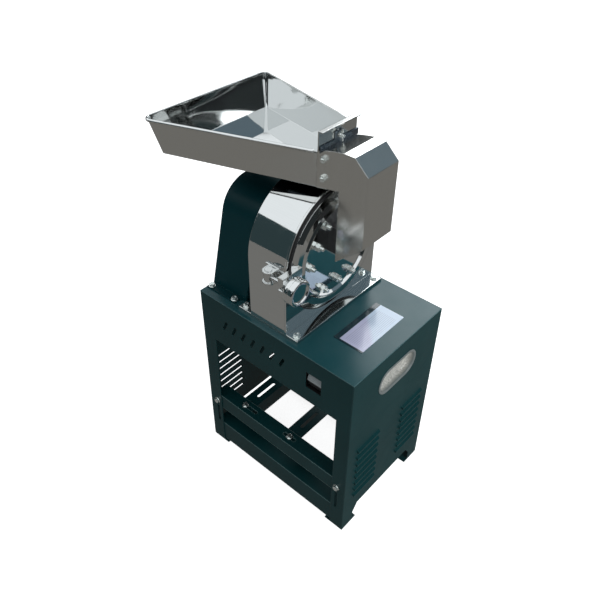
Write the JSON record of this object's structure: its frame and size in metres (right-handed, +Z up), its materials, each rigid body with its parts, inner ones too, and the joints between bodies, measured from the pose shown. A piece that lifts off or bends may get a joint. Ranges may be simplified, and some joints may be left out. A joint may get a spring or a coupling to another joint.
{
  "type": "grain pulverizer",
  "caption": "Grain pulverizer: round belt-driven mill with a hinged door, tray hopper, feed chute and slide gate, on a louvred cabinet stand with an adjustable motor platform.",
  "frame": {"origin": "middle of the whole machine's box, on the floor under the foot plates", "axes": "+Z up, +X to the right along the cabinet's front, +Y towards the back; the front faces -Y"},
  "size_m": [0.615, 0.4045, 1.023],
  "materials": {
    "green_powder_coat": "dark green powder coat",
    "mirror_steel": "mirror polished stainless steel",
    "brushed_steel": "brushed stainless steel",
    "zinc_fasteners": "bright zinc plate",
    "cast_iron": "machined cast iron",
    "black_rubber": "black rubber",
    "grey_plastic": "satin grey plastic",
    "black_plastic": "satin black plastic",
    "plate_print": "glossy printed plate"
  },
  "bodies": {
    "stand": {"table_top": "green_powder_coat", "left_side_panel": "green_powder_coat", "right_side_panel": "green_powder_coat", "front_panel": "green_powder_coat", "rear_panel": "green_powder_coat", "front_bottom_rail": "green_powder_coat", "rear_bottom_rail": "green_powder_coat", "foot_plates": "green_powder_coat", "left_grip_cup": "brushed_steel", "right_grip_cup": "brushed_steel", "switch_housing": "black_plastic", "instruction_plate": "plate_print", "belt_guard": "green_powder_coat", "guard_bolts": "zinc_fasteners", "mill_base_plate": "mirror_steel", "base_bolts": "zinc_fasteners", "mill_housing": "mirror_steel", "housing_face_ring": "mirror_steel", "door_gasket": "black_rubber", "chamber_liner": "cast_iron", "screen": "brushed_steel", "bearing_pedestal": "cast_iron", "pedestal_bolts": "zinc_fasteners", "shaft_bearings": "brushed_steel", "outlet_spout": "brushed_steel", "hinge_bracket": "brushed_steel", "hinge_pin": "brushed_steel", "clamp_clevis": "brushed_steel", "clamp_trunnion": "brushed_steel"},
    "rotor": {"mill_shaft": "brushed_steel", "mill_pulley": "cast_iron", "shaft_key": "brushed_steel", "rotor_disc": "cast_iron", "beaters": "cast_iron", "rotor_nut": "zinc_fasteners"},
    "door": {"mill_door": "mirror_steel", "door_liner": "cast_iron", "door_studs": "zinc_fasteners", "door_hinge_strap": "brushed_steel", "clamp_fork": "brushed_steel", "inlet_neck": "brushed_steel", "feed_chute": "brushed_steel", "chute_bolts": "zinc_fasteners", "hopper_pan": "mirror_steel", "gate_guide": "brushed_steel", "gate_bolt": "zinc_fasteners"},
    "gate": {"feed_gate": "brushed_steel"},
    "wing_nut": {"gate_wing_nut": "zinc_fasteners"},
    "clamp_slider": {"clamp_washer": "brushed_steel"},
    "clamp_handle": {"clamp_knob": "mirror_steel", "clamp_screw": "brushed_steel"},
    "rocker": {"switch_rocker": "grey_plastic"},
    "platform": {"front_channel": "green_powder_coat", "rear_channel": "green_powder_coat", "platform_bolts": "zinc_fasteners"},
    "left_motor_rail": {"left_rail": "green_powder_coat", "left_rail_bolts": "zinc_fasteners"},
    "right_motor_rail": {"right_rail": "green_powder_coat", "right_rail_bolts": "zinc_fasteners"}
  },
  "joints": [
    {"name": "rotor_spin", "type": "hinge", "parent": "stand", "child": "rotor", "pos_m": [-0.0215, 0.00525, 0.7225], "axis": [1, 0, 0], "continuous": true},
    {"name": "door_swing", "type": "hinge", "parent": "stand", "child": "door", "pos_m": [0.1045, 0.18075, 0.7225], "axis": [0, 0, 1], "range_deg": [0, 110]},
    {"name": "gate_slide", "type": "slide", "parent": "door", "child": "gate", "axis": [0, 0, 1], "range_m": [0, 0.06]},
    {"name": "wing_nut_turn", "type": "hinge", "parent": "door", "child": "wing_nut", "pos_m": [0.089, 0.00675, 0.997], "axis": [1, 0, 0], "range_deg": [0, 360]},
    {"name": "clamp_travel", "type": "slide", "parent": "door", "child": "clamp_slider", "axis": [1, 0, 0], "range_m": [0, 0.009]},
    {"name": "clamp_turn", "type": "hinge", "parent": "clamp_slider", "child": "clamp_handle", "pos_m": [0.1143, -0.17125, 0.719], "axis": [1, 0, 0], "range_deg": [0, 1080]},
    {"name": "rocker_tilt", "type": "hinge", "parent": "stand", "child": "rocker", "pos_m": [0.189, -0.15625, 0.4775], "axis": [1, 0, 0], "range_deg": [0, 16]},
    {"name": "platform_slide", "type": "slide", "parent": "stand", "child": "platform", "axis": [0, 0, 1], "range_m": [-0.06, 0]},
    {"name": "left_rail_slide", "type": "slide", "parent": "platform", "child": "left_motor_rail", "axis": [1, 0, 0], "range_m": [0, 0.04]},
    {"name": "right_rail_slide", "type": "slide", "parent": "platform", "child": "right_motor_rail", "axis": [1, 0, 0], "range_m": [-0.016, 0.016]}
  ],
  "couplings": [
    {"joint": "clamp_travel", "follows": "clamp_turn", "m_per_rad": 0.00047746}
  ]
}
